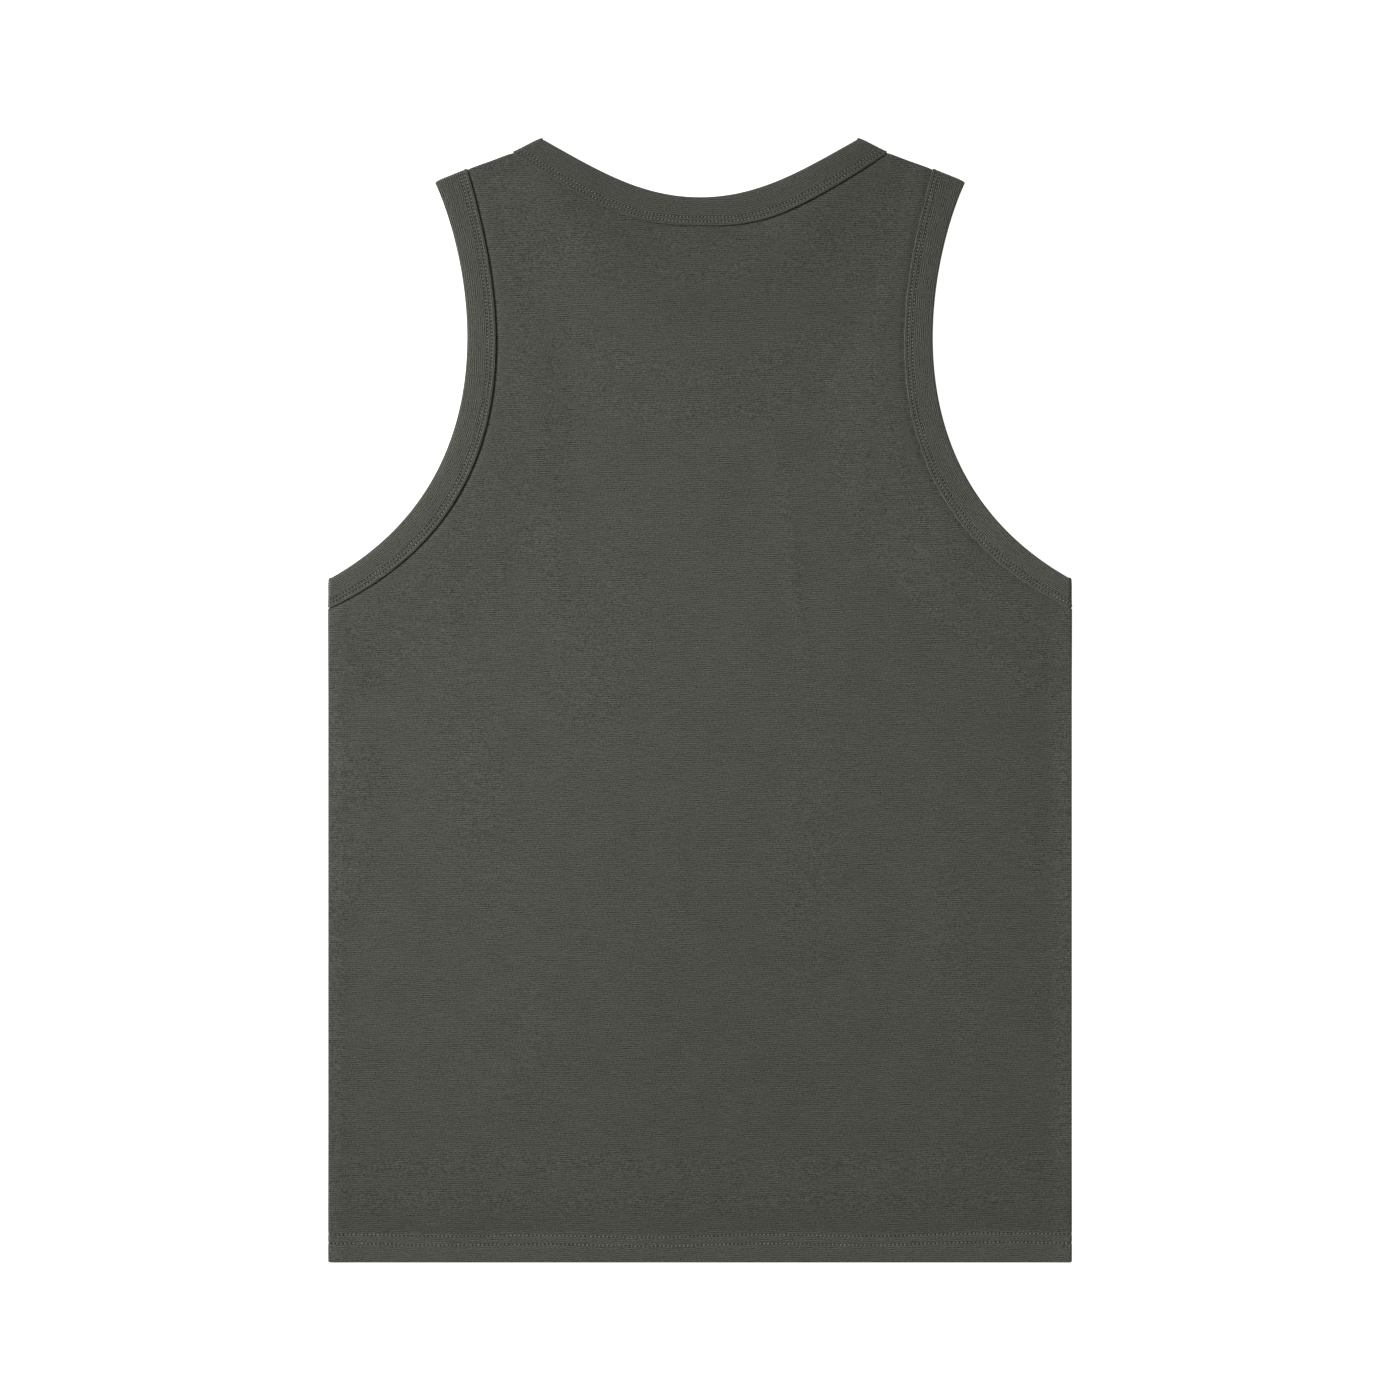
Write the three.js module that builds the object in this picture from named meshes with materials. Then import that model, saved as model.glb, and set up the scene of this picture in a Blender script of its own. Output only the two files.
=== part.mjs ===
import * as THREE from 'three';

// A sleeveless knit top laid flat on its front, with the back panel uppermost.
// Millimetres, +Z up. +Y runs to the neck and X = 0 is the line of symmetry.
// The origin lies on the surface, under the middle of the garment.

// Driving dimensions of the whole garment
const chestWidth = 500;
const fullLength = 755.6;
const cloth = 1.05;
const seamGap = 0.3;
const restGap = 0.4;

// The hem's cloth is turned up inside, and the bands grip the panels' cut edges
const hemTurnUp = 21;
const bandGrip = 9.5;

// Lengths over which the cloth sinks from a thick edge to the plain panel
const bandSlope = 42;
const hemSlope = 38;
const openingSlope = 46;
const plateau = 2.5;

// Mesh density along each line
const neckBackSteps = 9;
const neckFrontSteps = 11;
const strapSteps = 3;
const armholeSteps = 14;
const sideSteps = 6;
const turnSteps = 4;
const foldSteps = 4;

// One layer lies on the next. Heights are measured from the mid plane between front and back
const layer = cloth + seamGap;
const innerFace = restGap / 2;
const stackTop = innerFace + 2 * layer + cloth;
const bandFoldRadius = (stackTop - innerFace) / 2;
const hemFoldRadius = (layer + cloth) / 2;

// Named corners of the right half in plan, where shoulder and side begin to turn over
const hemY = -fullLength / 2;
const hemFoldY = hemY + hemFoldRadius;
const underarmX = chestWidth / 2 - stackTop;
const corner = {
  neckTip: [104.4, 375.05],
  neckBandEnd: [123.9, 365.0],
  armBandTop: [155.2, 353.5],
  shoulderTip: [176.9, 344.8],
  underarm: [underarmX, 82.9],
  armBandFoot: [underarmX, 62.6],
  backNeck: [0, 338.4],
  backBandFoot: [0, 319.5],
  frontNeck: [0, 259.5],
  frontBandFoot: [0, 240.6],
};

// Directions square to the shoulder's fold, at the neck band and over the strap
const overNeckBand = THREE.MathUtils.degToRad(62);
const overStrap = THREE.MathUtils.degToRad(68.8);
const overSide = 0;

// Plan curves of the right half, each a cubic with two inner control points
const armholeEdge = cubic(corner.shoulderTip, [157.1, 300.7], [121.3, 154.6], corner.underarm);
const armBandInner = cubic(corner.armBandTop, [141.4, 298.3], [94.5, 136.6], corner.armBandFoot);
const backNeckEdge = cubic(corner.backNeck, [39.1, 338.4], [70.2, 357], corner.neckTip);
const backBandInner = cubic(corner.backBandFoot, [42.2, 319.5], [61.9, 326.1], corner.neckBandEnd);
const frontNeckEdge = cubic(corner.frontNeck, [57, 259.5], [104.4, 311], corner.neckTip);
const frontBandInner = cubic(corner.frontBandFoot, [68, 240.6], [121, 296.4], corner.neckBandEnd);

function cubic(start, first, second, end) {
  return new THREE.CubicBezierCurve(...[start, first, second, end].map(([x, y]) => {
    return new THREE.Vector2(x, y);
  }));
}

const armLine = armBandInner.getSpacedPoints(60);
const backBandLine = backBandInner.getSpacedPoints(40);
const frontBandLine = frontBandInner.getSpacedPoints(40);
const openingLine = frontNeckEdge.getSpacedPoints(40);

function distanceTo(points, x, y) {
  const segment = new THREE.Line3();
  const here = new THREE.Vector3(x, y, 0);
  const nearest = new THREE.Vector3();
  let least = Infinity;
  for (let i = 1; i < points.length; i++) {
    segment.start.set(points[i - 1].x, points[i - 1].y, 0);
    segment.end.set(points[i].x, points[i].y, 0);
    segment.closestPointToPoint(here, true, nearest);
    least = Math.min(least, nearest.distanceTo(here));
  }
  return least;
}

// x where a line that climbs all the way passes a height
function xAt(points, y) {
  for (let i = 1; i < points.length; i++) {
    const low = points[i - 1];
    const high = points[i];
    if ((low.y - y) * (high.y - y) <= 0 && low.y !== high.y) {
      return THREE.MathUtils.mapLinear(y, low.y, high.y, low.x, high.x);
    }
  }
  return points[points.length - 1].x;
}

// 1 as far as the plateau's edge, then an even S down to 0 over the given length
function sink(distance, length) {
  return 1 - THREE.MathUtils.smoothstep(distance, plateau, plateau + length);
}

// How far a thick edge lifts the cloth at a place, from 0 to 1
function armLift(x, y) {
  const isBand = y > corner.armBandFoot[1] && x > xAt(armLine, y);
  return isBand ? 1 : sink(distanceTo(armLine, x, y), bandSlope);
}

function neckLift(line, x, y) {
  const isBand = y > line[0].y && x < xAt(line, y);
  return isBand ? 1 : sink(distanceTo(line, x, y), bandSlope);
}

function hemLift(y) {
  return sink(y - hemY - hemTurnUp, hemSlope);
}

// Height of the mid plane between the panels, and the lift of one panel from it.
// Inside the front's neck opening there is no front, so the back sinks to the surface.
function levels(x, y, isBack) {
  const arm = armLift(x, y);
  const front = Math.max(arm, neckLift(frontBandLine, x, y));
  const back = Math.max(arm, neckLift(backBandLine, x, y));
  let frontTop = layer * front + cloth + layer * Math.max(front, hemLift(y));
  if (y > corner.frontNeck[1] && x < xAt(openingLine, y)) {
    const drop = 2 * layer + cloth + restGap;
    frontTop = drop * sink(distanceTo(openingLine, x, y), openingSlope) - restGap;
  }
  const lift = layer * Math.max(isBack ? back : front, hemLift(y));
  return { mid: frontTop + innerFace, lift };
}

// A point of the cloth from its place in plan and its height off the mid plane. It may carry
// a turn over the garment's edge: a right angle on the flat, and 0 at the edge itself, where
// the two panels stay parted by the seam's gap.
function place(point, isBack) {
  const { x, y, height, turn = Math.PI / 2, aside = 0, parting = 0 } = point;
  const reach = height * Math.cos(turn);
  const rise = parting + (height - parting) * Math.sin(turn);
  const { mid } = levels(x, y, isBack);
  return new THREE.Vector3(
    x + reach * Math.cos(aside),
    y + reach * Math.sin(aside),
    mid + (isBack ? rise : -rise),
  );
}

function mirrored(point) {
  return new THREE.Vector3(-point.x, point.y, point.z);
}

// A closed body from four-sided faces. Each is split along its shorter diagonal in plan, so
// that layers which lie on each other are split alike.
function bodyFrom(points, faces) {
  const spanInPlan = (a, b) => Math.hypot(points[a].x - points[b].x, points[a].y - points[b].y);
  const triangles = faces.flatMap(([a, b, c, d]) => {
    return spanInPlan(a, c) < spanInPlan(b, d)
      ? [[a, b, c], [a, c, d]]
      : [[b, c, d], [b, d, a]];
  });
  const volume = triangles.reduce((sum, [a, b, c]) => {
    return sum + points[a].dot(points[b].clone().cross(points[c])) / 6;
  }, 0);
  const index = triangles.flatMap(([a, b, c]) => (volume < 0 ? [a, c, b] : [a, b, c]));
  const geometry = new THREE.BufferGeometry();
  geometry.setFromPoints(points);
  geometry.setIndex(index);
  geometry.computeVertexNormals();
  return geometry;
}

// A ring-shaped body through closed sections, the last joined to the first
function ringBody(rings) {
  const size = rings[0].length;
  const faces = rings.flatMap((ring, i) => ring.map((_, j) => {
    const here = i * size;
    const next = ((i + 1) % rings.length) * size;
    const k = (j + 1) % size;
    return [here + j, next + j, next + k, here + k];
  }));
  return bodyFrom(rings.flat(), faces);
}

// A wall of cloth from grids of points that each have an outer and an inner face.
// Points that fall together are one, and the free edges are closed from face to face.
function wallBody(grids) {
  const outer = [];
  const inner = [];
  const known = new Map();
  const indexOf = (point) => {
    const key = point.outer.toArray().map((value) => Math.round(1000 * value)).join(' ');
    if (!known.has(key)) {
      known.set(key, outer.length);
      outer.push(point.outer);
      inner.push(point.inner);
    }
    return known.get(key);
  };
  const outerFaces = grids.flatMap((grid) => grid.slice(1).flatMap((row, i) => {
    return row.slice(1).map((point, j) => [grid[i][j], grid[i][j + 1], point, row[j]].map(indexOf));
  }));
  const edges = new Map();
  for (const face of outerFaces) {
    face.forEach((from, i) => {
      const to = face[(i + 1) % face.length];
      edges.set(`${from} ${to}`, [from, to]);
    });
  }
  const count = outer.length;
  const innerFaces = outerFaces.map((face) => face.map((i) => i + count).reverse());
  const rim = [...edges.values()]
    .filter(([from, to]) => !edges.has(`${to} ${from}`))
    .map(([from, to]) => [to, from, from + count, to + count]);
  return bodyFrom([...outer, ...inner], [...outerFaces, ...innerFaces, ...rim]);
}

// Section of a band: distance from its folded edge, and height off the mid plane. It runs
// out along the outer lip, round the fold, back along the inner lip, and inside again.
function bandSection(width) {
  const middle = innerFace + bandFoldRadius;
  const arc = (radius, steps) => Array.from({ length: steps + 1 }, (_, i) => {
    const angle = Math.PI / 2 + Math.PI * i / steps;
    return [bandFoldRadius + radius * Math.cos(angle), middle + radius * Math.sin(angle)];
  });
  const lips = (radius, steps) => [
    [width, middle + radius],
    [bandGrip, middle + radius],
    ...arc(radius, steps),
    [bandGrip, middle - radius],
    [width, middle - radius],
  ];
  const inside = lips(bandFoldRadius - cloth, foldSteps / 2).reverse();
  return [...lips(bandFoldRadius, foldSteps), ...inside];
}

// Lines across a band, which the panel that it grips shares
function bandLines(edge, inner, steps) {
  const feet = inner.getSpacedPoints(steps);
  return edge.getSpacedPoints(steps).map((start, i) => ({ start, foot: feet[i] }));
}

function acrossBand({ start, foot }, depth) {
  const { x, y } = start.clone().lerp(foot, depth / start.distanceTo(foot));
  return { x, y };
}

function bandRing(line, isBack, turned = {}) {
  const width = line.start.distanceTo(line.foot);
  return bandSection(width).map(([depth, height]) => {
    return place({ ...acrossBand(line, depth), height, ...turned }, isBack);
  });
}

// Rings that carry a band over the garment's edge, from the back to the front
function turnedRings(line, aside) {
  return Array.from({ length: 2 * turnSteps - 1 }, (_, i) => {
    const angle = Math.PI / 2 * (1 - (i + 1) / turnSteps);
    return bandRing(line, angle >= 0, { turn: Math.abs(angle), aside });
  });
}

function neckBandBody() {
  const back = bandLines(backNeckEdge, backBandInner, neckBackSteps);
  const front = bandLines(frontNeckEdge, frontBandInner, neckFrontSteps);
  const right = [
    ...back.map((line) => bandRing(line, true)),
    ...turnedRings(back[neckBackSteps], overNeckBand),
    ...front.map((line) => bandRing(line, false)).reverse(),
  ];
  const left = right.slice(1, -1).map((ring) => ring.map(mirrored)).reverse();
  return ringBody([...right, ...left]);
}

function armholeBandBody(isLeft) {
  const lines = bandLines(armholeEdge, armBandInner, armholeSteps);
  const rings = [
    ...lines.map((line) => bandRing(line, true)).reverse(),
    ...turnedRings(lines[0], overStrap),
    ...lines.map((line) => bandRing(line, false)),
    ...turnedRings(lines[armholeSteps], overSide).reverse(),
  ];
  return ringBody(isLeft ? rings.map((ring) => ring.map(mirrored)) : rings);
}

// Where a panel begins to turn over at the side, so that the garment's edge stays straight
function sideFoldX(y, isBack) {
  const { lift } = levels(underarmX, y, isBack);
  const panelTop = innerFace + lift + cloth;
  const foot = corner.armBandFoot[1];
  const underBand = THREE.MathUtils.smoothstep(y, foot - 5, foot);
  return chestWidth / 2 - THREE.MathUtils.lerp(panelTop, stackTop, underBand);
}

// Direction square to the shoulder's fold at a place along it
function overShoulder(x) {
  const along = THREE.MathUtils.smoothstep(x, corner.neckBandEnd[0], corner.armBandTop[0]);
  return THREE.MathUtils.lerp(overNeckBand, overStrap, along);
}

// Plan points up the side seam from the hem's fold, and on round the armhole band's foot
function sideLine(armLines, isBack) {
  const turnUpTop = hemY + hemTurnUp;
  const rise = corner.armBandFoot[1] - turnUpTop;
  const heights = [hemFoldY, (hemFoldY + turnUpTop) / 2];
  for (let i = 0; i < sideSteps; i++) {
    const share = i / sideSteps;
    heights.push(turnUpTop + rise * (share - 0.08 * Math.sin(2 * Math.PI * share)));
  }
  return [
    ...heights.map((y) => new THREE.Vector2(sideFoldX(y, isBack), y)),
    ...armLines.map((line) => line.foot).reverse(),
  ];
}

// The upper end of half a panel's columns: along the neck band's foot and the shoulder
function topLine(neckLines, armLines) {
  const neckEnd = neckLines[neckLines.length - 1].foot;
  const strap = Array.from({ length: strapSteps }, (_, i) => {
    return neckEnd.clone().lerp(armLines[0].foot, (i + 1) / strapSteps);
  });
  return [...neckLines.map((line) => line.foot), ...strap];
}

// Plan of half a panel between the bands: rows from the hem's fold up to the shoulder. A row
// runs from the middle to the side or the armhole, and bends towards the neck line and the
// shoulder the more, the higher it lies.
function panelRows(top, side) {
  const { lerp, mapLinear } = THREE.MathUtils;
  const along = [0];
  for (let i = 1; i < top.length; i++) {
    along.push(along[i - 1] + top[i].distanceTo(top[i - 1]));
  }
  const shares = along.map((length) => length / along[along.length - 1]);
  const first = top[0];
  const last = top[top.length - 1];
  const foot = corner.armBandFoot[1];
  return side.map((edge) => {
    const bend = mapLinear(edge.y, hemFoldY, last.y, 0, 1) ** 3;
    const middleY = Math.min(edge.y, mapLinear(edge.y, foot, last.y, foot, first.y));
    return shares.map((share, i) => ({
      x: share * edge.x + bend * (top[i].x - share * last.x),
      y: lerp(middleY, edge.y, share) + bend * (top[i].y - lerp(first.y, last.y, share)),
    }));
  });
}

// A place on a panel, with its two faces: the outer one lies away from the mid plane
function onPanel({ x, y }, isBack) {
  const { lift } = levels(x, y, isBack);
  const height = innerFace + lift;
  return { outer: { x, y, height: height + cloth }, inner: { x, y, height } };
}

// The hem inside a panel's lowest rows: from the turned-up edge down, and round the fold
function hemRows(rows) {
  const turnedUp = rows.slice(1, 3).reverse().map((row) => row.map(({ x, y }) => ({
    outer: { x, y, height: innerFace },
    inner: { x, y, height: innerFace + cloth },
  })));
  const fold = Array.from({ length: foldSteps }, (_, i) => {
    const angle = Math.PI * (1 - i / foldSteps);
    const around = ({ x }, radius) => ({
      x,
      y: hemFoldY - radius * Math.sin(angle),
      height: innerFace + hemFoldRadius + radius * Math.cos(angle),
    });
    return rows[0].map((point) => ({
      outer: around(point, hemFoldRadius),
      inner: around(point, hemFoldRadius - cloth),
    }));
  });
  return [...turnedUp, ...fold];
}

// A line of places carried over the garment's edge in even steps
function turnedOver(line, asideAt) {
  return Array.from({ length: turnSteps + 1 }, (_, i) => line.map(({ outer, inner }) => {
    const turned = { turn: Math.PI / 2 * (1 - i / turnSteps), aside: asideAt(outer.x) };
    return { outer: { ...outer, ...turned }, inner: { ...inner, ...turned } };
  }));
}

function transposed(grid) {
  return grid[0].map((_, j) => grid.map((row) => row[j]));
}

function panelBody(isBack) {
  const neckLines = isBack
    ? bandLines(backNeckEdge, backBandInner, neckBackSteps)
    : bandLines(frontNeckEdge, frontBandInner, neckFrontSteps);
  const armLines = bandLines(armholeEdge, armBandInner, armholeSteps);
  const rows = panelRows(topLine(neckLines, armLines), sideLine(armLines, isBack));
  const places = (points) => points.map((point) => onPanel(point, isBack));
  const gripped = (lines) => places(lines.map((line) => acrossBand(line, bandGrip)));

  const middle = [...hemRows(rows), ...rows.map(places)];
  const shoulder = middle[middle.length - 1];
  const neckGrip = [shoulder.slice(0, neckLines.length), gripped(neckLines)];
  const armFoot = middle.slice(-armLines.length).map((row) => row[row.length - 1]);
  const armEdge = gripped(armLines).reverse();
  const shoulderLine = [neckGrip[1][neckLines.length - 1], ...shoulder.slice(neckLines.length - 1)];
  shoulderLine.push(armEdge[armEdge.length - 1]);
  const sideSeam = middle.slice(0, -armholeSteps).map((row) => row[row.length - 1]);
  sideSeam.push(armEdge[0]);

  const half = [
    middle,
    neckGrip,
    transposed([armFoot, armEdge]),
    turnedOver(shoulderLine, overShoulder),
    transposed(turnedOver(sideSeam, () => overSide)),
  ];
  const face = (point) => place({ ...point, parting: seamGap / 2 }, isBack);
  const right = half.map((grid) => grid.map((row) => row.map(({ outer, inner }) => {
    return { outer: face(outer), inner: face(inner) };
  })));
  const left = right.map((grid) => grid.map((row) => row.map(({ outer, inner }) => {
    return { outer: mirrored(outer), inner: mirrored(inner) };
  })).reverse());
  return wallBody([...right, ...left]);
}

const knit = { color: 0x4e4e48, roughness: 0.95, metalness: 0 };

function piece(name, geometry) {
  const mesh = new THREE.Mesh(geometry, new THREE.MeshStandardMaterial(knit));
  mesh.name = name;
  return mesh;
}

const tankTop = new THREE.Group();
tankTop.add(piece('front_panel', panelBody(false)));
tankTop.add(piece('back_panel', panelBody(true)));
tankTop.add(piece('neck_band', neckBandBody()));
tankTop.add(piece('armhole_band_left', armholeBandBody(true)));
tankTop.add(piece('armhole_band_right', armholeBandBody(false)));

export default tankTop;
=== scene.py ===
import math

import bpy
import numpy as np
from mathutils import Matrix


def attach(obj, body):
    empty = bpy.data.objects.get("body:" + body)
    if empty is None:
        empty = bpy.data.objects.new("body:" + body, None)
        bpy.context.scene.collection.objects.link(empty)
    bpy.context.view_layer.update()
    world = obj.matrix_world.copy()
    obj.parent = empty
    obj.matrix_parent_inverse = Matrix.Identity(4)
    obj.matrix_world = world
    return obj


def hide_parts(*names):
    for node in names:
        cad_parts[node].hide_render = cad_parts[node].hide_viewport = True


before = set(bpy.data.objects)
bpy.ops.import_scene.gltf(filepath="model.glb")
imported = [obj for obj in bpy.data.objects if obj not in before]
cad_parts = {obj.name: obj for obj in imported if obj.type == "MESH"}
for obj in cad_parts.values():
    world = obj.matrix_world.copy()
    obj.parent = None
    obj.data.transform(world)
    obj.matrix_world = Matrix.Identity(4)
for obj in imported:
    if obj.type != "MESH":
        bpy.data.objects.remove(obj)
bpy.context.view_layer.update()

# A sleeveless knit top laid flat on its front. All sizes are in millimetres and become metres
# only when a mesh is made. +Y runs to the neck, and X = 0 is the line of symmetry.
MM = 0.001
CHEST = 500.0
LENGTH = 755.6
HEM_Y = -LENGTH / 2

# The knit as it lies: one wall, the close gap between layers, and the gap between the panels
CLOTH = 0.85
GAP = 0.06
REST_GAP = 0.08
LAYER = CLOTH + GAP
INNER = REST_GAP / 2
STACK = INNER + 2 * LAYER + CLOTH
BAND_RADIUS = (STACK - INNER) / 2
HEM_RADIUS = (LAYER + CLOTH) / 2
HEM_FOLD_Y = HEM_Y + HEM_RADIUS
BAND_ROLL = 2.2
BAND_DOME = 6.8
BAND_DOME_DROP = 0.42

# Widths of the sewn edges
BAND_GRIP = 9.5
HEM_TURN_UP = 21.0
SIDE_ALLOWANCE = 5.0
SHOULDER_ALLOWANCE = 5.0
ALLOWANCE_LIFT = 0.24

# Length below a band over which the panel comes out from under it at the side
UNDER_BAND = 0.9

# Where the panels meet at side and shoulder: half their parting, and how far the seam is drawn in
SEAM_PARTING = 0.05
SEAM_PULL = 0.22

# Lengths over which the cloth settles from a thick edge to the plain panel
PLATEAU = 1.5
BAND_SLOPE = 68.0
HEM_SLOPE = 62.0
OPENING_SLOPE = 62.0

# The crease by a band's foot: the share of a layer that the panel falls there, where its inner
# lip ends under it, and how far out the panel has risen again, by what share of the fall
CREASE_DROP = 0.64
LIP_FOOT = 1.6
CREASE_WIDTH = 4.0
CREASE_RISE = 0.8

# The neck strip's ends are joined right of the middle of the back, and its edge curls up there
JOIN_X = 10.9
JOIN_STEP = 0.45
JOIN_CURL = 0.38
JOIN_PRESS = 0.16

# Coverstitch: two needle rows, their places and their pitch
BAND_ROWS = (2.75, 5.7)
BAND_PITCH = 2.45
HEM_ROWS = (13.2, 19.2)
HEM_PITCH = 2.7
HEM_GROOVE = 0.22
BAND_RIDGE = 1.45
THREAD = 0.21
ARM_ROW_SUNK = 0.17

# The hem's rows run between the folds of the sides in a whole number of stitches
HEM_SPAN = 2 * (CHEST / 2 - STACK)
HEM_COUNT = round(HEM_SPAN / HEM_PITCH)
HEM_STEP = HEM_SPAN / HEM_COUNT

# Mesh density: columns and rows of half a panel, stations along the bands, steps over an edge
NECK_COLUMNS = 50
STRAP_COLUMNS = 24
ARM_ROWS = 84
SIDE_ROWS = 100
FOLD_STEPS = 8
TURN_STEPS = 8
STATION = 0.61
HEM_LEVELS = (
    HEM_RADIUS, 2, 4, 7, 9.5, 10.8, 11.3, 11.8, 12.3, 12.8, 13.3, 13.8, 14.3, 15.2,
    16.4, 17.1, 17.6, 18.1, 18.6, 19.1, 19.6, 20.1, 20.6, HEM_TURN_UP,
)

# Distances from a band's foot at the points of its outer face, as far as the ridged part
FACE_LEVELS = (
    0.35, 0.8, 1.4, 1.9, 2.3, 2.55, 2.75, 2.95, 3.2, 3.7, 4.2, 4.8, 5.25, 5.5, 5.7, 5.9, 6.2, 6.7,
)
RIDGE_POINTS = 22
BAND_FOLD_STEPS = 10

# Knit as drawn: distance between rows of yarn, and how much each part varies its lightness
ROW_PITCH = 1.345
ROW_REPEAT = (19.3, 8.4)
ROW_CONTRAST = 0.50
GRAIN_CONTRAST = 2.2
SLUB_CONTRAST = 0.6
PATCH_CONTRAST = 0.20

# How far the rows and their repeat are shifted by the noises below, in radians, and how much
# of the rows' strength comes from the repeat
ROW_DRIFT = 12.0
REPEAT_WANDER = 5.0
REPEAT_SHARE = 0.12
KNIT_NOISES = (
    # name, size of a grain in millimetres along x, y and z, detail, start of the pattern
    ("drift", (20, 45, 30), 1.0, (4, 1, 0)),
    ("strength", (7.5, 3.0, 5.0), 2.0, (2, 7, 0)),
    ("wander", (19, 14, 16), 0.0, (8, 3, 0)),
    ("grain", (0.95, 0.72, 0.9), 1.0, (3, 5, 0)),
    ("slub", (6.0, 1.1, 5.0), 2.0, (0, 0, 0)),
    ("patch", (34, 26, 30), 2.0, (1, 2, 0)),
)

# Thread: its twist, and how it is pulled more and less tight along the rows
THREAD_NOISES = (
    # size of a grain in millimetres, start of the pattern
    (0.8, (0, 0, 0)),
    (13, (5, 2, 0)),
)

# Lightness of a panel by place, as even changes between two places in metres. "up" is the
# height over the hem's edge, and "aside" the distance from the line of symmetry. The hem strip
# and a strip by each side fold are drawn lighter; the two darker zones are painted shade
PANEL_ZONES = (
    # way, from, to, light before, light after
    ("up", 0.019, 0.0235, 1.22, 1.0),
    # painted shade along the hem's folded edge
    ("up", 0.007, 0.013, 0.98, 1.0),
    # painted shade over the slope where the cloth rises onto the turned-up hem
    ("up", 0.022, 0.085, 0.958, 1.0),
    ("aside", 0.236, 0.246, 1.0, 1.09),
)

# Where a band's lightness changes, in metres: from its foot, and along it from its start. Near
# its start, round the underarm, the armhole band is drawn lighter as painted light, as if its
# face there were turned to the lamp
BAND_FACE_ZONE = (0.0125, 0.018)
PAINTED_LIGHT_START_ZONE = (0.06, 0.17)

# Soft ovals where the back looks a little darker, over the front's open neck and low on the
# belly. Each row gives the middle, the half sizes, the reach in half sizes of the full shade
# and of its end, and the share of light left
SHADED_OVALS = (
    # x, y, half_x, half_y, full_reach, end_reach, share
    (20, 388, 125, 146, 0.88, 1.10, 0.93),
    (15, -205, 120, 240, 0.15, 1.15, 0.955),
)

# Needle holes: half their length and width, and how much darker their middle is drawn, as
# painted shade in the pits that the needle leaves
HOLE_LENGTH = 0.60
HOLE_WIDTH = 0.50
HOLE_PAINTED_SHADE = 0.92

# Name of the map that gives each place along and across its own band or hem
CLOTH_MAP = "cloth"

# Directions square to the shoulder's fold, at the neck band and over the strap
OVER_NECK = math.radians(62)
OVER_STRAP = math.radians(68.8)
OVER_SIDE = 0.0


def inwards(tip, direction):
    """The place where the cloth begins to turn over, one stack's height inside the outline."""
    return np.array(tip) - STACK * np.array([math.cos(direction), math.sin(direction)])


def cubic(start, first, second, end, count=241):
    """Points at even lengths along a cubic curve: the four points weighted by the usual
    powers of t and 1 - t, then resampled by length."""
    t = np.linspace(0, 1, 1201)[:, None]
    weights = ((1 - t) ** 3, 3 * (1 - t) ** 2 * t, 3 * (1 - t) * t**2, t**3)
    points = sum(w * np.asarray(p, float) for w, p in zip(weights, (start, first, second, end)))
    return resampled(points, np.linspace(0, 1, count))


def lengths_along(points):
    steps = np.linalg.norm(np.diff(points, axis=0), axis=1)
    return np.concatenate([[0.0], np.cumsum(steps)])


def resampled(points, shares):
    """Points of a line at shares of its length."""
    along = lengths_along(points)
    return np.stack([np.interp(np.asarray(shares) * along[-1], along, c) for c in points.T], 1)


neck_tip = inwards((106.3, 378.4), OVER_NECK)
neck_band_end = inwards((125.7, 368.4), OVER_NECK)
arm_band_top = inwards((156.6, 357.1), OVER_STRAP)
shoulder_tip = inwards((178.3, 348.4), OVER_STRAP)
underarm = inwards((CHEST / 2, 82.2), OVER_SIDE)
arm_band_foot = inwards((CHEST / 2, 62.0), OVER_SIDE)

# Plan curves of the right half: each band's folded edge, and its foot on the panel
ARM_EDGE = cubic(shoulder_tip, (156.6, 300.4), (120.8, 154.3), underarm)
ARM_FOOT = cubic(arm_band_top, (140.5, 297.8), (93.6, 136.1), arm_band_foot)
BACK_EDGE = cubic((0, 338.0), (39.1, 338.0), (70.2, 356.6), neck_tip)
BACK_FOOT = cubic((0, 318.7), (42.2, 318.7), (61.9, 325.0), neck_band_end)
FRONT_EDGE = cubic((0, 259.5), (57, 259.5), (104.6, 311), neck_tip)
FRONT_FOOT = cubic((0, 240.6), (68, 240.6), (121.5, 296.4), neck_band_end)


def smoothstep(value, low, high):
    """0 below low, 1 above high, and 3t^2 - 2t^3 between."""
    t = np.clip((value - low) / (high - low), 0, 1)
    return t * t * (3 - 2 * t)


def distance_to(line, x, y):
    """Least distance in plan from each place to a line, measured to its nearest segment."""
    start, step = line[:-1:2], line[2::2] - line[:-2:2]
    square = (step**2).sum(1)
    flat_x, flat_y = np.ravel(x), np.ravel(y)
    least = np.empty(flat_x.size)
    for part in np.array_split(np.arange(flat_x.size), max(1, flat_x.size // 20000)):
        dx = flat_x[part, None] - start[:, 0]
        dy = flat_y[part, None] - start[:, 1]
        share = np.clip((dx * step[:, 0] + dy * step[:, 1]) / square, 0, 1)
        least[part] = np.hypot(dx - share * step[:, 0], dy - share * step[:, 1]).min(1)
    return least.reshape(np.shape(x))


def beyond(line, x, y, outwards):
    """True where a place lies past a climbing line, on its outer or its inner side."""
    order = np.argsort(line[:, 1])
    edge = np.interp(y, line[order, 1], line[order, 0])
    above = y > line[:, 1].min()
    return above & ((x > edge) if outwards else (x < edge))


def settled(distance, slope):
    """1 as far as the plateau's edge, then an even S down to 0 over the slope's length."""
    return 1 - smoothstep(distance, PLATEAU, PLATEAU + slope)


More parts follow.
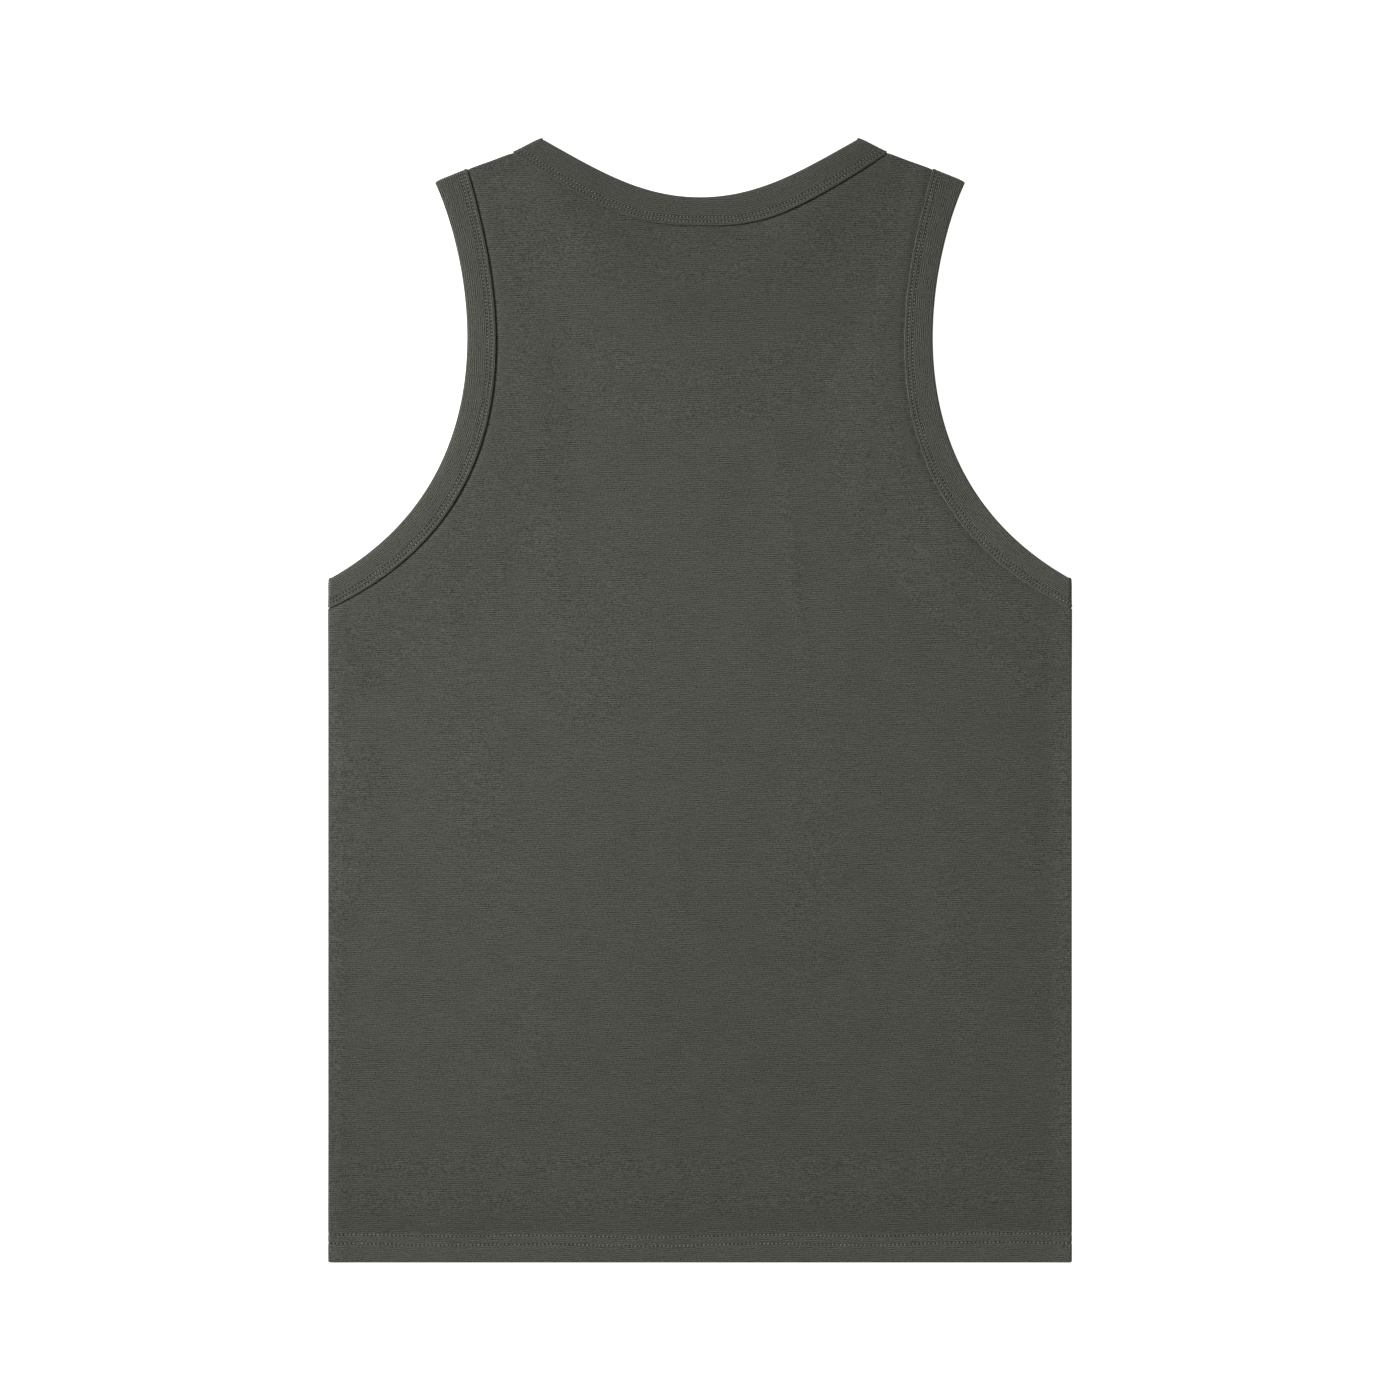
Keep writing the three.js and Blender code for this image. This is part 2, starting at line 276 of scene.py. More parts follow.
# Soft ridges in the upper panel where it lies loosely on the lower one. Each row gives the
# ridge's middle, its half length and half width, its lean from the Y axis, and its height
RIDGES = (
    # x, y, half_length, half_width, lean_degrees, height
    (-103, 150, 105, 13, -3, 0.42),
    (64, 78, 62, 5, -7, 0.34),
    (52, 150, 40, 8, -10, 0.20),
    (-62, 40, 90, 30, 12, 0.30),
    (72, -110, 120, 24, 4, 0.26),
    (-150, -60, 95, 26, -8, 0.30),
    (-30, -150, 90, 40, 14, 0.10),
    (170, -170, 110, 22, -5, 0.24),
    (-120, -240, 70, 26, 14, 0.20),
    (118, 210, 70, 12, 6, 0.22),
    (-227, -48, 21, 15, 0, 0.60),
    (-234, 22, 16, 9, -12, 0.42),
    (-231, -112, 26, 11, 8, 0.42),
    (222, 20, 26, 9, 10, 0.24),
    (224, -96, 30, 9, -8, 0.24),
    (226, -210, 26, 9, 6, 0.22),
)


def loose_ridges(x, y):
    """Sum of bells: each ridge falls off as exp(-r^2), r measured along its own two axes."""
    height = np.zeros(np.shape(x))
    for mid_x, mid_y, half_length, half_width, lean, rise in RIDGES:
        turn = math.radians(lean)
        along = (x - mid_x) * math.sin(turn) + (y - mid_y) * math.cos(turn)
        across = (x - mid_x) * math.cos(turn) - (y - mid_y) * math.sin(turn)
        height += rise * np.exp(-((along / half_length) ** 2) - (across / half_width) ** 2)
    return height


def below_shoulder(x, y):
    """Distance from the line of the strap's shoulder fold."""
    strap = arm_band_top - neck_band_end
    strap_x, strap_y = strap / np.linalg.norm(strap)
    return np.abs((x - neck_band_end[0]) * strap_y - (y - neck_band_end[1]) * strap_x)


def seam_allowances(x, y):
    """Lift of each panel over the sewn edges inside, along the sides and under the strap's
    shoulder seam: full at the fold, and an even S down to 0 further in."""
    side = (1 - smoothstep(CHEST / 2 - x, SIDE_ALLOWANCE, SIDE_ALLOWANCE + 12)) * (y < underarm[1])
    shoulder = 1 - smoothstep(below_shoulder(x, y), SHOULDER_ALLOWANCE, SHOULDER_ALLOWANCE + 5)
    shoulder = shoulder * (y > 300)
    return ALLOWANCE_LIFT * np.maximum(side, shoulder)


def levels(x, y, is_back):
    """Height of the mid plane between the panels, and the lift of one panel off it.

    The front rests on its bands' outer lips, so it rises by a layer there. Over it lie its
    inner lips or its turned-up hem, and on those the back. Where the front's neck is open the
    back has settled on the surface."""
    across = np.abs(x)
    bands = {}
    feet = (("arm", ARM_FOOT, True), ("front", FRONT_FOOT, False), ("back", BACK_FOOT, False))
    for name, foot, outwards in feet:
        side = np.where(beyond(foot, across, y, outwards), -1, 1)
        bands[name] = side * distance_to(foot, across, y)
    arm, front, back = (settled(bands[name], BAND_SLOPE) for name in ("arm", "front", "back"))
    hem = settled(y - HEM_Y - HEM_TURN_UP, HEM_SLOPE)
    front, back = np.maximum(arm, front), np.maximum(arm, back)
    clear = smoothstep(np.minimum(np.minimum(bands["arm"], bands["front"]), bands["back"]), 0.5, 4)
    inside = seam_allowances(across, y) * clear
    front_top = LAYER * front + CLOTH + LAYER * np.maximum(front, hem) + inside
    open_drop = (2 * LAYER + CLOTH + REST_GAP) * settled(distance_to(FRONT_EDGE, across, y), OPENING_SLOPE)
    front_top = np.where(beyond(FRONT_EDGE, across, y, False), open_drop - REST_GAP, front_top)
    own = np.minimum(bands["arm"], bands["back" if is_back else "front"])
    fall = smoothstep(own, -LIP_FOOT, -0.3) * (1 - CREASE_RISE * smoothstep(own, 0, CREASE_WIDTH))
    by_fold = smoothstep(CHEST / 2 - across, 3, 14)
    by_fold = by_fold * np.where(y > 300, smoothstep(below_shoulder(across, y), 1, 8), 1)
    crease = 1 - CREASE_DROP * fall * by_fold * (1 - 0.5 * smoothstep(-y, -135, -70))
    lift = LAYER * np.maximum((back if is_back else front) * crease, hem) + inside
    return front_top + INNER, lift


def looseness(x, y):
    """Share of the loose ridges that a place takes: none at the fold of the sides, the hem
    and the shoulders, and all of it some way inside."""
    across = np.abs(x)
    side = smoothstep(CHEST / 2 - across, 3, 12)
    hem = smoothstep(y - HEM_Y, 16, 40)
    top = 1 - smoothstep(y + 0.37 * across, 385, 402)
    return side * hem * top


def spots(x, y, height, over, aside=0.0):
    """Places on the cloth, each given by its plan, its height off the mid plane, its turn over
    the garment's edge, and the direction of that turn in plan. The turn is a right angle on
    the back, 0 at the very edge and minus a right angle on the front."""
    return np.stack(np.broadcast_arrays(x, y, height, over, aside), -1).astype(float)


def mirrored(places):
    """The same places in the left half: x changes sign and the turn's direction is reflected."""
    out = places.copy()
    out[..., 0] = -places[..., 0]
    out[..., 4] = math.pi - places[..., 4]
    return out


def laid(places, seam=0):
    """Points from places: the plan is moved along the turn's direction by height * cos(turn),
    and the mid plane is raised by height * sin(turn). A panel, whose seam is 1 or -1, stays
    parted from the other one at the edge, and the thread draws it in there a little."""
    x, y, height, over, aside = np.moveaxis(places, -1, 0)
    mid, _ = levels(x, y, True)
    flatness = np.abs(np.sin(over))
    reach = height * np.cos(over) - abs(seam) * SEAM_PULL * np.exp(-((over / 0.3) ** 2))
    rise = height * np.sin(over) + seam * SEAM_PARTING * (1 - flatness)
    loose = loose_ridges(x, y) * looseness(x, y) * np.clip(np.sin(over), 0, 1)
    return np.stack([x + reach * np.cos(aside), y + reach * np.sin(aside), mid + rise + loose], -1)


def dip(distance, half_width):
    """A soft groove's profile: exp(-(distance / half width)^2)."""
    return np.exp(-((distance / half_width) ** 2))


def hem_wave(x):
    """How far the hem's stitch rows wander up and down along it: three sines of uneven length."""
    return 1.4 * np.sin(x / 160.0 + 5.1) + 0.6 * np.sin(x / 22.8 - 0.2) + 0.2 * np.sin(x / 33.0 + 0.2)


def hem_relief(x, y):
    """Depth of the grooves that the two rows of the hem draw into the cloth."""
    row = y - HEM_Y - hem_wave(x)
    return sum(HEM_GROOVE * dip(row - at, 0.8) for at in HEM_ROWS)


def mesh_piece(name, points, faces, corner_uv=None):
    """A mesh object from points in millimetres and faces. If its volume comes out negative,
    the faces are turned round, so that they always point outwards."""
    a, b, c = (points[faces[:, k]] for k in (0, 1, 2))
    volume = np.einsum("ij,ij->i", a, np.cross(b, c)).sum()
    if faces.shape[1] == 4:
        d = points[faces[:, 3]]
        volume += np.einsum("ij,ij->i", a, np.cross(c, d)).sum()
    if volume < 0:
        faces = faces[:, ::-1]
        corner_uv = None if corner_uv is None else corner_uv[:, ::-1]
    count, sides = faces.shape
    mesh = bpy.data.meshes.new(name)
    mesh.vertices.add(len(points))
    mesh.vertices.foreach_set("co", (points * MM).astype(np.float32).ravel())
    mesh.loops.add(count * sides)
    mesh.loops.foreach_set("vertex_index", faces.astype(np.int32).ravel())
    mesh.polygons.add(count)
    mesh.polygons.foreach_set("loop_start", np.arange(0, count * sides, sides, dtype=np.int32))
    mesh.update(calc_edges=True)
    if mesh.validate():
        raise ValueError(f"{name} has faulty faces")
    mesh.shade_smooth()
    if corner_uv is not None:
        layer = mesh.uv_layers.new(name=CLOTH_MAP)
        layer.uv.foreach_set("vector", (corner_uv * MM).astype(np.float32).ravel())
    piece = bpy.data.objects.new(name, mesh)
    bpy.context.scene.collection.objects.link(piece)
    return piece


def quads(ids):
    """Four-cornered faces between neighbouring rows and columns of a grid of numbers."""
    corners = (ids[:-1, :-1], ids[:-1, 1:], ids[1:, 1:], ids[1:, :-1])
    return np.stack(corners, -1).reshape(-1, 4)


def wall(name, grids):
    """A closed wall of cloth from grids of outer and inner points. Points that fall together
    are one, and each free edge is closed from face to face."""
    outer = np.concatenate([g[0].reshape(-1, 3) for g in grids])
    inner = np.concatenate([g[1].reshape(-1, 3) for g in grids])
    keys = np.round(outer / 0.0001 + 0.137).astype(np.int64)
    _, first, index = np.unique(keys, axis=0, return_index=True, return_inverse=True)
    index = index.ravel()
    outer, inner = outer[first], inner[first]
    faces, done = [], 0
    for grid, _ in grids:
        rows, columns = grid.shape[:2]
        faces.append(quads(index[done:done + rows * columns].reshape(rows, columns)))
        done += rows * columns
    faces = np.concatenate(faces)
    starts, ends = faces.ravel(), np.roll(faces, -1, axis=1).ravel()
    forward, backward = starts * len(outer) + ends, ends * len(outer) + starts
    free = ~np.isin(forward, backward)
    count = len(outer)
    rim = np.stack([ends[free], starts[free], starts[free] + count, ends[free] + count], 1)
    points = np.concatenate([outer, inner])
    every = np.concatenate([faces, faces[:, ::-1] + count, rim])
    rows = points[:, 1] - HEM_Y - hem_wave(points[:, 0])
    uv = np.stack([(points[:, 0] + HEM_SPAN / 2) * HEM_PITCH / HEM_STEP, rows], 1)
    return mesh_piece(name, points, every, uv[every])


def band_lines(edge, foot, count):
    """Lines across a band at even shares of its edge and of its foot: starts and feet."""
    shares = np.linspace(0, 1, count + 1)
    return resampled(edge, shares), resampled(foot, shares)


def across_band(start, foot, depth):
    """Plan places at a depth from the folded edge, along the lines across a band."""
    width = np.linalg.norm(foot - start, axis=-1)
    return start + (foot - start) * (depth / width)[..., None]


def side_fold_x(y, is_back):
    """Where a panel begins to turn over at the side, so that the outline stays straight."""
    panel_top = INNER + levels(np.full(np.shape(y), underarm[0]), y, is_back)[1] + CLOTH
    under_band = smoothstep(y, arm_band_foot[1] - UNDER_BAND, arm_band_foot[1])
    return CHEST / 2 - (panel_top + (STACK - panel_top) * under_band)


def panel(name, is_back):
    """One panel. Rows run from the hem's fold up to the shoulder. A row goes from the middle to
    the side or the armhole, and bends towards the neck line and the shoulder the more, the
    higher it lies. The hem turns up inside, and side and shoulder turn over to the seams."""
    sign = 1 if is_back else -1
    flat = sign * math.pi / 2
    neck_lines = (BACK_EDGE, BACK_FOOT) if is_back else (FRONT_EDGE, FRONT_FOOT)
    neck_start, neck_foot = band_lines(*neck_lines, NECK_COLUMNS)
    arm_start, arm_foot = band_lines(ARM_EDGE, ARM_FOOT, ARM_ROWS)
    shares = np.linspace(0, 1, STRAP_COLUMNS + 1)[1:, None]
    top = np.concatenate([neck_foot, neck_foot[-1] + shares * (arm_foot[0] - neck_foot[-1])])

    low_rows = HEM_Y + np.array(HEM_LEVELS)
    rise = arm_band_foot[1] - low_rows[-1]
    shares = np.append(np.linspace(0, 1, SIDE_ROWS + 1)[1:-1], 1 - UNDER_BAND / rise)
    heights = np.concatenate([low_rows, low_rows[-1] + rise * shares])
    side = np.concatenate([np.stack([side_fold_x(heights, is_back), heights], 1), arm_foot[::-1]])

    column = lengths_along(top)
    column = column / column[-1]
    bend = (((side[:, 1] - HEM_FOLD_Y) / (top[-1, 1] - HEM_FOLD_Y)) ** 3)[:, None]
    climb = (side[:, 1] - arm_band_foot[1]) / (top[-1, 1] - arm_band_foot[1])
    middle_y = np.minimum(side[:, 1], arm_band_foot[1] + climb * (top[0, 1] - arm_band_foot[1]))[:, None]
    x = column * side[:, :1] + bend * (top[:, 0] - column * top[-1, 0])
    y = middle_y + column * (side[:, 1:] - middle_y)
    y = y + bend * (top[:, 1] - top[0, 1] - column * (top[-1, 1] - top[0, 1]))

    def faces_at(x, y):
        height = INNER + levels(x, y, is_back)[1]
        outer = height + CLOTH - hem_relief(x, y)
        return spots(x, y, outer, flat), spots(x, y, height, flat)

    outer, inner = faces_at(x, y)
    turn_up = len(low_rows)
    angle = np.pi * (1 - np.arange(FOLD_STEPS) / FOLD_STEPS)[:, None]

    def folded(radius):
        drop = HEM_FOLD_Y - radius * np.sin(angle)
        return spots(x[0], drop, INNER + HEM_RADIUS + radius * np.cos(angle), flat)

    raised = slice(turn_up - 1, 0, -1)
    inside = [spots(x[raised], y[raised], h, flat) for h in (INNER, INNER + CLOTH)]
    outer = np.concatenate([inside[0], folded(HEM_RADIUS), outer])
    inner = np.concatenate([inside[1], folded(HEM_RADIUS - CLOTH), inner])

    def gripped(start, foot):
        width = np.linalg.norm(foot - start, axis=-1)
        depths = np.stack([width - 0.3, width - LIP_FOOT, np.full(len(width), BAND_GRIP)])
        place = across_band(start, foot, depths)
        return faces_at(place[..., 0], place[..., 1])

    neck_edge = gripped(neck_start, neck_foot)
    arm_edge = [g[:, ::-1] for g in gripped(arm_start, arm_foot)]
    corner = NECK_COLUMNS + 1
    grids, in_neck, in_arm = [(outer, inner)], [], []
    for g, n, a in zip((outer, inner), neck_edge, arm_edge):
        in_neck.append(np.concatenate([g[-1:, :corner], n]))
        in_arm.append(np.concatenate([g[-len(arm_start):, -1][None], a]).transpose(1, 0, 2))
    grids += [tuple(in_neck), tuple(in_arm)]

    def turned(line, aside):
        steps = flat * (1 - np.arange(TURN_STEPS + 1) / TURN_STEPS)
        out = np.repeat(line[None], TURN_STEPS + 1, 0)
        out[..., 3] = steps[:, None]
        out[..., 4] = aside
        return out

    shoulder, seam = [], []
    for g, n, a in zip((outer, inner), neck_edge, arm_edge):
        shoulder.append(np.concatenate([n[::-1, -1], g[-1, corner - 1:], a[:, -1]]))
        seam.append(np.concatenate([g[:-len(arm_start) + 1, -1], a[:, 0]]))
    strap_share = smoothstep(shoulder[0][:, 0], neck_band_end[0], arm_band_top[0])
    over_shoulder = OVER_NECK + (OVER_STRAP - OVER_NECK) * strap_share
    grids.append(tuple(turned(line, over_shoulder) for line in shoulder))
    grids.append(tuple(turned(line, OVER_SIDE).transpose(1, 0, 2) for line in seam))

    right = [tuple(laid(g, sign) for g in pair) for pair in grids]
    left = [tuple(laid(mirrored(g), sign)[::-1] for g in pair) for pair in grids]
    return wall(name, right + left)


def ring_of(parts):
    """Stations round a closed band from runs of (starts, feet, turns, directions)."""
    starts, feet, over, aside = [], [], [], []
    for start, foot, turn, way in parts:
        count = max(len(np.atleast_1d(turn)), len(np.atleast_2d(start)))
        starts.append(np.broadcast_to(start, (count, 2)))
        feet.append(np.broadcast_to(foot, (count, 2)))
        over.append(np.broadcast_to(turn, count))
        aside.append(np.broadcast_to(way, count))
    return [np.concatenate(a).astype(float) for a in (starts, feet, over, aside)]


def turn_angles():
    """Turns from just past the back's flat to just before the front's."""
    steps = int(round(math.pi * STACK / STATION))
    return math.pi / 2 * (1 - 2 * np.arange(1, steps) / steps)


def armhole_ring(is_left):
    """From the underarm up the back, over the shoulder, down the front and round the side."""
    count = int(round(lengths_along(ARM_EDGE)[-1] / STATION))
    start, foot = band_lines(ARM_EDGE, ARM_FOOT, count)
    way = np.linspace(OVER_STRAP, OVER_SIDE, count + 1)
    half_turn = math.pi / 2
    ring = ring_of([
        (start[::-1], foot[::-1], half_turn, way[::-1]),
        (start[0], foot[0], turn_angles(), OVER_STRAP),
        (start, foot, -half_turn, way),
        (start[-1], foot[-1], -turn_angles(), OVER_SIDE),
    ])
    return reflected_ring(ring) if is_left else ring


def reflected_ring(ring):
    start, foot, over, aside = ring
    flip = np.array([-1.0, 1.0])
    return [(start * flip)[::-1], (foot * flip)[::-1], over[::-1], (math.pi - aside)[::-1]]


def neck_ring():
    """From the middle of the back over the right shoulder to the middle of the front, and back
    over the left one."""
    counts = [int(round(lengths_along(e)[-1] / STATION)) for e in (BACK_EDGE, FRONT_EDGE)]
    back_start, back_foot = band_lines(BACK_EDGE, BACK_FOOT, counts[0])
    front_start, front_foot = band_lines(FRONT_EDGE, FRONT_FOOT, counts[1])
    half_turn = math.pi / 2
    ways = [np.linspace(half_turn, OVER_NECK, count + 1) for count in counts]
    right = ring_of([
        (back_start, back_foot, half_turn, ways[0]),
        (back_start[-1], back_foot[-1], turn_angles(), OVER_NECK),
        (front_start[::-1], front_foot[::-1], -half_turn, ways[1][::-1]),
    ])
    left = [part[1:-1] for part in reflected_ring(right)]
    start, foot, over, aside = [np.concatenate([a, b]) for a, b in zip(right, left)]
    past = smoothstep(foot[:, 0], JOIN_X, JOIN_X + 0.6) * (1 - smoothstep(foot[:, 0], 40, 75))
    foot[:, 1] -= JOIN_STEP * past * (over > 1.5)
    return [start, foot, over, aside]


def along_ring(ring):
    """Length along a ring's first needle row at each station, and once more at the start."""
    start, foot, over, aside = ring
    width = np.linalg.norm(foot - start, axis=-1)
    place = across_band(start, foot, width - BAND_ROWS[0])
    points = laid(spots(place[:, 0], place[:, 1], STACK, over, aside))
    return lengths_along(np.concatenate([points, points[:1]]))


def lip_height(along, from_foot, pitch):
    """Height of a band's outer face off the mid plane, from the place along it and from its
    foot. A 3 mm edge is domed, both needle rows draw a groove that is deeper at each hole,
    and fine ridges run lengthwise from the second row to the fold, over slow uneven waves."""
    hole = 0.5 + 0.5 * np.cos(2 * np.pi * along / pitch)
    wave = np.sin(along / 9.1 + 1.0) + np.sin(along / 4.3 + 0.4 * from_foot) + np.sin(along / 23.0)
    height = STACK - 0.20 + 0.018 * wave
    height = height + 0.22 * dip(from_foot - 1.1, 1.0) + 0.08 * dip(from_foot - 4.2, 0.8)
    for row in BAND_ROWS:
        height = height - (0.16 + 0.16 * hole) * dip(from_foot - row, 0.45)
    ridge = np.cos(2 * np.pi * (from_foot - BAND_ROWS[1] - 0.4) / BAND_RIDGE)
    return height + 0.13 * ridge * smoothstep(from_foot, 6.4, 7.6)


def band_dome(from_edge):
    """How much lower a band's face lies towards its folded edge: 0 at BAND_DOME from it, and
    growing as the square of the way from there."""
    return BAND_DOME_DROP * (np.clip(BAND_DOME - from_edge, 0, None) / BAND_DOME) ** 2


def band(name, ring, has_join):
    """A folded strip that grips the panels' edge, as a closed section carried round a ring. The
    section runs up the outer lip's foot, along its face to the fold, round it, back along the
    inner lip, and inside again. Where the strip has its join, the outer lip's edge curls up past
    it and is pressed down before it."""
    start, foot, over, aside = ring
    along = along_ring(ring)
    pitch = along[-1] / round(along[-1] / BAND_PITCH)
    width = np.linalg.norm(foot - start, axis=-1)[:, None]
    u = along[:-1, None]
    middle = INNER + BAND_RADIUS
    face = np.array(FACE_LEVELS)
    share = np.linspace(0, 1, RIDGE_POINTS + 1)[1:]
    ridged = face[-1] + (width - BAND_ROLL - face[-1]) * share
    v = np.concatenate([np.broadcast_to(face, (len(width), len(face))), ridged], 1)
    joined_by = smoothstep(u, JOIN_X, JOIN_X + 2)
    pressed = 1 - joined_by + smoothstep(u, along[-1] - 50, along[-1] - 20)
    curl = JOIN_CURL * joined_by * (1 - smoothstep(u, 60, 105)) - JOIN_PRESS * pressed
    height = lip_height(u, v, pitch) - band_dome(width - v) + has_join * curl * np.exp(-v / 1.2)
    thick = np.array([0.12, 0.5, 0.8])
    foot_v = np.broadcast_to(np.array([0.0, -0.02, 0.10]), (len(width), 3))
    foot_h = INNER + 2 * LAYER + thick * (height[:, :1] - INNER - 2 * LAYER)

    angle = np.pi * np.arange(1, BAND_FOLD_STEPS) / BAND_FOLD_STEPS
    roll = np.where(angle < np.pi / 2, BAND_ROLL, BAND_RADIUS)
    fold_v = width - roll * (1 - np.sin(angle))
    top = np.where(angle < np.pi / 2, height[:, -1:] - middle, BAND_RADIUS)
    fold_h = middle + top * np.cos(angle)

    lip = np.array([1.0, 0.72, 0.45, 0.2, 0.02, 0.0])
    lip_v = LIP_FOOT + (width - BAND_RADIUS - LIP_FOOT) * lip
    lip_h = np.broadcast_to(INNER + np.where(lip > 0.01, 0.0, 0.2), lip_v.shape)
    hollow = BAND_RADIUS - CLOTH
    inside = np.array([0.0, 0.02, 0.3, 0.65, 1.0])
    back_v = LIP_FOOT + (width - BAND_RADIUS - LIP_FOOT) * inside
    back_h = np.broadcast_to(INNER + CLOTH * np.where(inside > 0.01, 1.0, 0.8), back_v.shape)
    angle = np.pi * (1 - np.arange(1, 5) / 5)
    round_v = width - BAND_RADIUS + hollow * np.sin(angle)
    round_h = np.broadcast_to(middle + hollow * np.cos(angle), round_v.shape)
    under_v = (width - BAND_RADIUS) * np.array([1.0, 0.6, 0.25, 0.02])
    under_h = np.broadcast_to(INNER + 2 * LAYER, under_v.shape)

    v = np.concatenate([foot_v, v, fold_v, lip_v, back_v, round_v, under_v], 1)
    h = np.concatenate([foot_h, height, fold_h, lip_h, back_h, round_h, under_h], 1)
    place = start[:, None] + (foot - start)[:, None] * ((width - v) / width)[..., None]
    points = laid(spots(place[..., 0], place[..., 1], h, over[:, None], aside[:, None]))

    size, count = v.shape[1], len(start)
    ids = np.arange(size * count).reshape(count, size)
    ids = np.concatenate([ids, ids[:1]])
    ids = np.concatenate([ids, ids[:, :1]], 1)
    across = np.concatenate([v, v[:1]])
    across = np.concatenate([across, across[:, :1]], 1)
    every = np.broadcast_to(along[:, None] * BAND_PITCH / pitch, across.shape)
    uv = np.stack([every, across], -1).reshape(-1, 2)
    corners = quads(np.arange(len(uv)).reshape(ids.shape))
    return mesh_piece(name, points.reshape(-1, 3), quads(ids), uv[corners])


def thread_tubes(count, pitch, row, place_at, sunk=0.0):
    """One short arched tube for each stitch of a row. Round the tube runs an angle, along it a
    share t from one needle hole to the next: the radius is full in the middle and small at
    both ends, and the centre rises over the cloth as sin(pi t)."""
    t = np.array([0.19, 0.30, 0.5, 0.70, 0.81])[:, None]
    radius = THREAD * np.array([0.45, 0.9, 1.0, 0.9, 0.45])[:, None]
    turn = 2 * np.pi * np.arange(6) / 6
    rng = np.random.default_rng(int(10 * row))
    number = np.arange(count)[:, None, None]
    slant = rng.uniform(-0.16, 0.16, (count, 1, 1)) * (2 * t - 1)
    fullness = rng.uniform(0.85, 1.12, (count, 1, 1))
    u = (number + t + 0 * turn) * pitch
    v = row + slant + fullness * radius * np.cos(turn)
    h = 0.30 * fullness * np.sin(np.pi * t) + fullness * radius * np.sin(turn) - 0.10 - sunk
    points = place_at(u, v, h)
    points[..., 2] = np.maximum(points[..., 2], 0.0)
    ids = np.arange(len(t) * len(turn)).reshape(len(t), len(turn))
    side = quads(np.concatenate([ids, ids[:, :1]], 1))
    first, last = ids[0], ids[-1]
    ends = np.array([first[[3, 2, 1, 0]], first[[5, 4, 3, 0]], last[[0, 1, 2, 3]], last[[0, 3, 4, 5]]])
    one = np.concatenate([side, ends])
    faces = one[None] + ids.size * np.arange(count)[:, None, None]
    return points.reshape(-1, 3), faces.reshape(-1, 4)


def joined(name, runs):
    """One mesh piece from several runs of points and faces."""
    points = np.concatenate([run[0] for run in runs])
    before = np.cumsum([0] + [len(run[0]) for run in runs[:-1]])
    faces = np.concatenate([run[1] + skip for run, skip in zip(runs, before)])
    return mesh_piece(name, points, faces)


def band_stitches(name, ring, sunk):
    """Both needle rows of a band, all round its ring. The row by the foot is sunk in the cloth."""
    start, foot, over, aside = ring
    along = along_ring(ring)
    count = round(along[-1] / BAND_PITCH)
    pitch = along[-1] / count
    closed = [np.concatenate([a, a[:1]]) for a in (start, foot)]

    def place_at(u, v, h):
        spot = [np.interp(u, along, c) for pair in closed for c in pair.T]
        spot += [np.interp(u, along, np.append(a, a[0])) for a in (over, aside)]
        start_x, start_y, foot_x, foot_y, turn, way = spot
        share = v / np.hypot(foot_x - start_x, foot_y - start_y)
        x, y = foot_x + (start_x - foot_x) * share, foot_y + (start_y - foot_y) * share
        return laid(spots(x, y, h + lip_height(u, v, pitch), turn, way))

    rows = zip(BAND_ROWS, (sunk, 0.0))
    return joined(name, [thread_tubes(count, pitch, row, place_at, depth) for row, depth in rows])


def hem_stitches(name, is_back):
    """Both needle rows of one panel's hem, from side to side."""
    flat = math.pi / 2 if is_back else -math.pi / 2

    def place_at(u, v, h):
        x = u - HEM_SPAN / 2
        y = HEM_Y + v + hem_wave(x)
        top = INNER + levels(x, y, is_back)[1] + CLOTH - hem_relief(x, y)
        return laid(spots(x, y, top + h, flat))

    return joined(name, [thread_tubes(HEM_COUNT, HEM_STEP, row, place_at) for row in HEM_ROWS])


def linear(hex_colour):
    """Linear RGBA from an sRGB hex value such as #4E4E48."""
    parts = [int(hex_colour[i:i + 2], 16) / 255 for i in (1, 3, 5)]
    return [p / 12.92 if p <= 0.04045 else ((p + 0.055) / 1.055) ** 2.4 for p in parts] + [1.0]


def add(tree, kind, inputs=None, out=0, **settings):
    """Adds a shader node with its settings, and its inputs as values or links, and gives back
    one of its outputs. An input or output is named, or numbered where a node has several of
    one name."""
    node = tree.nodes.new("ShaderNode" + kind)
    for name, value in settings.items():
        setattr(node, name, value)
    for key, value in (inputs or {}).items():
        if isinstance(value, bpy.types.NodeSocket):
            tree.links.new(value, node.inputs[key])
        else:
            node.inputs[key].default_value = value
    return node.outputs[out] if node.outputs else None


def needle_holes(tree, rows_mm, pitch_mm):
    """1 at each needle hole of a coverstitch, and down to 0 around it as exp(-r^2). Holes lie a
    pitch apart along the map's u, on rows that are given by their v."""
    place = add(tree, "UVMap", uv_map=CLOTH_MAP)
    along, up = (add(tree, "SeparateXYZ", {0: place}, out=k) for k in (0, 1))
    half = pitch_mm * MM / 2
    along = add(tree, "Math", {0: along, 1: -half, 2: half}, operation="WRAP")
    off = [add(tree, "Math", {0: up, 1: row * MM}, operation="SUBTRACT") for row in rows_mm]
    off = [add(tree, "Math", {0: row}, operation="ABSOLUTE") for row in off]
    across = add(tree, "Math", dict(enumerate(off)), operation="MINIMUM")
    square = []
    for way, size in ((along, HOLE_LENGTH), (across, HOLE_WIDTH)):
        way = add(tree, "Math", {0: way, 1: 1000 / size}, operation="MULTIPLY")
        square.append(add(tree, "Math", {0: way, 1: way}, operation="MULTIPLY"))
    square = add(tree, "Math", dict(enumerate(square)), operation="ADD")
    square = add(tree, "Math", {0: square, 1: -1.0}, operation="MULTIPLY")
    return add(tree, "Math", {0: square}, operation="EXPONENT")


